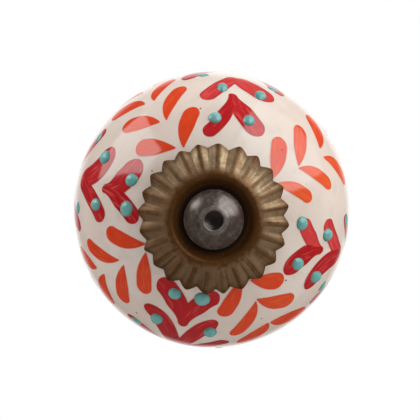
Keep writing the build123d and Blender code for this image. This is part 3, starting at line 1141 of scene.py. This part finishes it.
# The dome steps down a little outside the collar round the hole
past_collar = smooth_step(dome_sphere * np.sin(dome_bend), collar_radius, collar_radius + collar_edge)
dome_skin = dome_sphere - collar_step * past_collar
dome_profile = np.column_stack([dome_skin * np.sin(dome_bend), dome_centre + dome_skin * np.cos(dome_bend)])
lip_bend = np.linspace(0, np.pi / 2, lip_rows)
lip_profile = np.column_stack(
    [
        lip_radius - (lip_radius - blind_radius) * np.cos(lip_bend),
        dome_top - lip_depth * (1 - np.sin(lip_bend)),
    ]
)
hole_floor = dome_top - lip_depth - blind_depth
hole_profile = np.array([(0.0, hole_floor - drill_point), (blind_radius, hole_floor)])
side_profile = np.array(
    [
        (head_radius, dome_base - head_edge),
        (head_radius, head_seat + head_edge),
        (head_radius - head_edge, head_seat),
        (shank_radius, head_seat),
        (shank_radius, shank_end),
        (0.0, shank_end),
    ]
)
bolt_profile = np.concatenate([hole_profile, lip_profile, dome_profile[1:], side_profile])
head_and_shank = turned(bolt_profile[:, 0], bolt_profile[:, 1], bolt_columns)
head_attributes = {"radius": bolt_profile[None, :, :1] / mm}
bolt_head = add_surface("bolt_head", head_and_shank[None], head_attributes, sharp_angle=35)

thread_turns = bolt_end / thread_pitch
thread_rows = int(thread_turns * thread_rows_per_turn)
thread_y = np.linspace(0, bolt_end, thread_rows)[:, None]
thread_angle = once_round(thread_columns)[None]
thread_phase = thread_y / thread_pitch - thread_angle / (2 * np.pi)
ridge = np.abs((thread_phase % 1) * 2 - 1)
point = np.clip((bolt_end - thread_y) / point_length, 0, 1)
thread_cut = thread_depth * np.clip(ridge * flank_steepness - crest_flat, 0, 1)
thread_skin = np.minimum(thread_radius - thread_cut, thread_radius - point_taper * (1 - point))
thread_start = np.zeros((1, thread_columns, 3))
thread_tip = thread_start + [0, bolt_end, 0]
thread_points = np.concatenate([thread_start, about_axis(thread_skin, -thread_y, thread_angle), thread_tip])
thread_attributes = {"radius": thread_finish_radius}
bolt_thread = add_surface("bolt_thread", thread_points[None], thread_attributes, sharp_angle=40)

steel, shade = new_finish("dark_steel")
steel_place = object_place(shade)
patches = clouds(shade, steel_place, patch_scale, detail=3.0, roughness=0.6)
pits = clouds(shade, steel_place, pit_scale, detail=3.0, roughness=0.7)
steel_radius = attribute(shade, "radius")
on_collar = 1 - steel_radius.step(*worn_edge)
rubbed = pits.step(*pit_worn_edge) * pit_worn_share + on_collar * collar_worn_share
rusty = patches.step(*rust_edge) * (1 - on_collar * rust_lost_on_collar) * rust_share
outside_hole = rusty.blend(rubbed.blend(steel_grey, steel_worn), steel_rust)
# Painted shade: the inside of the blind hole is painted darker
inside_hole = 1 - steel_radius.step(*hole_shade_edge)
pitted = pits + patches
steel_bump = shade.node("Bump", {"Height": pitted, "Strength": pit_strength, "Distance": pit_height})
close_finish(
    shade,
    {
        "Base Color": inside_hole.blend(outside_hole, steel_hole_shade),
        "Metallic": steel_metallic,
        "IOR": steel_ior,
        "Roughness": patches * patch_roughness + pits * pit_roughness + steel_roughness,
        "Normal": steel_bump,
    },
)
bolt_head.data.materials.append(steel)
bolt_thread.data.materials.append(steel)
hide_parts("bolt")


# Base cup
# A cup pressed from the same brass, open behind, which stands between the ball's foot and the drawer front.
# The nut draws it up against the foot.
cup_wear_scale = 120.0
cup_wear_edge = (0.35, 0.8)
cup_stain_scale = 90.0
cup_stain_share = 0.4


def cup_wear(shade):
    """Rubbed in slow clouds all over the cup."""
    return clouds(shade, object_place(shade), cup_wear_scale).step(*cup_wear_edge)


def cup_stain(shade):
    """Stained a little, in slower clouds."""
    return clouds(shade, object_place(shade), cup_stain_scale) * cup_stain_share


def refinish(node, material):
    """Gives a CAD node this material alone."""
    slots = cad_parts[node].data.materials
    slots.clear()
    slots.append(material)


cup_brass = brass_finish("cup_brass", cup_wear, cup_stain)
refinish("base_cup", cup_brass)


# Washer and nut
# A stamped washer and a hexagon nut, both zinc plated steel, run up the bolt inside the cup.
# The nut clamps the rosette, the ball and the cup together.
zinc_pale = (0.55, 0.55, 0.53, 1)
zinc_grey = (0.38, 0.38, 0.37, 1)
zinc_roughness = 0.2
spangle_scale = 700.0
spangle_edge = (0.35, 0.65)
spangle_roughness = 0.3
tooling_scale = 3000.0
tooling_strength = 0.1
tooling_height = 0.03 * mm
zinc, shade = new_finish("zinc_steel")
zinc_place = object_place(shade)
spangle = clouds(shade, zinc_place, spangle_scale, detail=3.0)
tooling = clouds(shade, zinc_place, tooling_scale)
zinc_bump = shade.node("Bump", {"Height": tooling, "Strength": tooling_strength, "Distance": tooling_height})
close_finish(
    shade,
    {
        "Base Color": spangle.step(*spangle_edge).blend(zinc_grey, zinc_pale),
        "Metallic": 1.0,
        "Roughness": spangle * spangle_roughness + zinc_roughness,
        "Normal": zinc_bump,
    },
)
for plated in ("washer", "nut"):
    refinish(plated, zinc)


# Floor, lights and surroundings
# A plain floor well below the knob and two large soft lights above it on either side. A white backdrop fills
# the view and shows in the metal and in the glaze at grazing angles. The room in front of the knob is dim.
floor_drop = 150 * mm
floor_radius = 500 * mm
floor_columns = 64
floor_grey = (0.52, 0.515, 0.505, 1)
left_light_place = np.array([-0.521, -0.073, 0.407])
left_light_size = (0.333, 0.77)
left_light_lean = np.radians(46.3)
left_light_roll = np.radians(5.7)
left_light_radiance = (2.0, 1.45)
right_light_place = np.array([0.437, -0.118, 0.393])
right_light_size = (0.61, 1.0)
right_light_radiance = (2.2, 0.7)
light_white = (0.955, 1.0, 0.985, 1)
ambient_white = (1.0, 0.97, 0.955, 1)
mirrored_white = (1, 0.99, 0.975, 1)
plain_white = (1, 1, 1, 1)
ambient_level = 0.94
ambient_rightwards = 0.12
ambient_towards_back = 0.84
ambient_behind = 0.6
ambient_upwards = 0.14
room_level = 0.035
ceiling_level = 0.02
ceiling_edge = (-0.1, 0.7)
floor_level = 0.06
floor_edge = (0.0, 0.8)
backdrop_edge = 0.81

floor_mesh = bpy.data.meshes.new("floor")
floor_shape = bmesh.new()
bmesh.ops.create_circle(
    floor_shape,
    cap_ends=True,
    radius=floor_radius,
    segments=floor_columns,
    matrix=Matrix.Translation((0, ball_centre[1], -floor_drop)),
)
floor_shape.to_mesh(floor_mesh)
floor_shape.free()
floor = bpy.data.objects.new("floor", floor_mesh)
bpy.context.scene.collection.objects.link(floor)
floor.visible_glossy = False
floor_finish, shade = new_finish("grey_floor")
seen = shade.node("LightPath", output="Is Camera Ray")
plain_floor = shade.node("BsdfDiffuse", {"Color": floor_grey})
white_floor = shade.node("Emission", {"Color": plain_white, "Strength": 1.0})
floor_mix = shade.node("MixShader", {0: seen, 1: plain_floor, 2: white_floor})
shade.node("OutputMaterial", {"Surface": floor_mix})
floor_mesh.materials.append(floor_finish)


def add_soft_light(name, place, size, radiance, lean=0.0, roll=0.0):
    """A rectangular soft light that faces the ball, its back edge leaning in and rolled down by these angles.

    Its radiance fades evenly from the first value at its front edge to the second at its back edge.
    """
    front, back = radiance
    lamp = bpy.data.lights.new(name, "AREA")
    lamp.shape = "RECTANGLE"
    lamp.size, lamp.size_y = size
    lamp.energy = np.pi * size[0] * size[1]
    lamp.use_nodes = True
    lamp.node_tree.nodes.clear()
    shade = Shade(lamp.node_tree)
    across = shade.node("NewGeometry", output="Parametric")
    share = shade.node("SeparateXYZ", {"Vector": across}, output="Y")
    strength = share * (back - front) + front
    glow = shade.node("Emission", {"Color": light_white, "Strength": strength})
    shade.node("OutputLight", {"Surface": glow})
    holder = bpy.data.objects.new(name, lamp)
    ahead = unit(-place)
    side = unit(np.cross(ahead, [0, 1, 0]))
    backwards = np.cross(side, ahead)
    leaning = backwards * np.cos(lean) + ahead * np.sin(lean)
    length = leaning * np.cos(roll) - side * np.sin(roll)
    width = side * np.cos(roll) + leaning * np.sin(roll)
    turn = np.column_stack([width, length, np.cross(width, length)])
    holder.matrix_world = Matrix.Translation(ball_centre + place) @ Matrix(turn.tolist()).to_4x4()
    bpy.context.scene.collection.objects.link(holder)


left_light_tilt = (left_light_lean, left_light_roll)
add_soft_light("left_softbox", left_light_place, left_light_size, left_light_radiance, *left_light_tilt)
add_soft_light("right_softbox", right_light_place, right_light_size, right_light_radiance)

world = bpy.data.worlds.new("white_surroundings")
world.use_nodes = True
world.node_tree.nodes.clear()
bpy.context.scene.world = world
shade = Shade(world.node_tree)
outward = shade.node("TexCoord", output="Generated")
right, back, up = (shade.node("SeparateXYZ", {"Vector": outward}, output=axis) for axis in "XYZ")
room = up.step(*ceiling_edge) * ceiling_level + (0 - up).step(*floor_edge) * floor_level + room_level
backdrop = back.step(backdrop_edge, 1.0)
mirrored_level = backdrop + room * (1 - backdrop)
camera_ray = shade.node("LightPath", output="Is Camera Ray")
glossy_ray = shade.node("LightPath", output="Is Glossy Ray")
clear_ray = shade.node("LightPath", output="Is Transmission Ray")
plain_backdrop = shade.node("Background", {"Color": plain_white, "Strength": 1.0})
from_behind = back * ambient_towards_back + back.step(0.0, 1.0) * ambient_behind
slanted = from_behind + up * ambient_upwards + right * ambient_rightwards
ambient = shade.node("Background", {"Color": ambient_white, "Strength": slanted + ambient_level})
mirrored = shade.node("Background", {"Color": mirrored_white, "Strength": mirrored_level})
around = shade.node("MixShader", {0: glossy_ray, 1: ambient, 2: mirrored})
sees_white = (camera_ray + clear_ray).step(0.0, 1.0)
surroundings = shade.node("MixShader", {0: sees_white, 1: around, 2: plain_backdrop})
shade.node("OutputWorld", {"Surface": surroundings})
bpy.context.scene.view_settings.view_transform = "Standard"
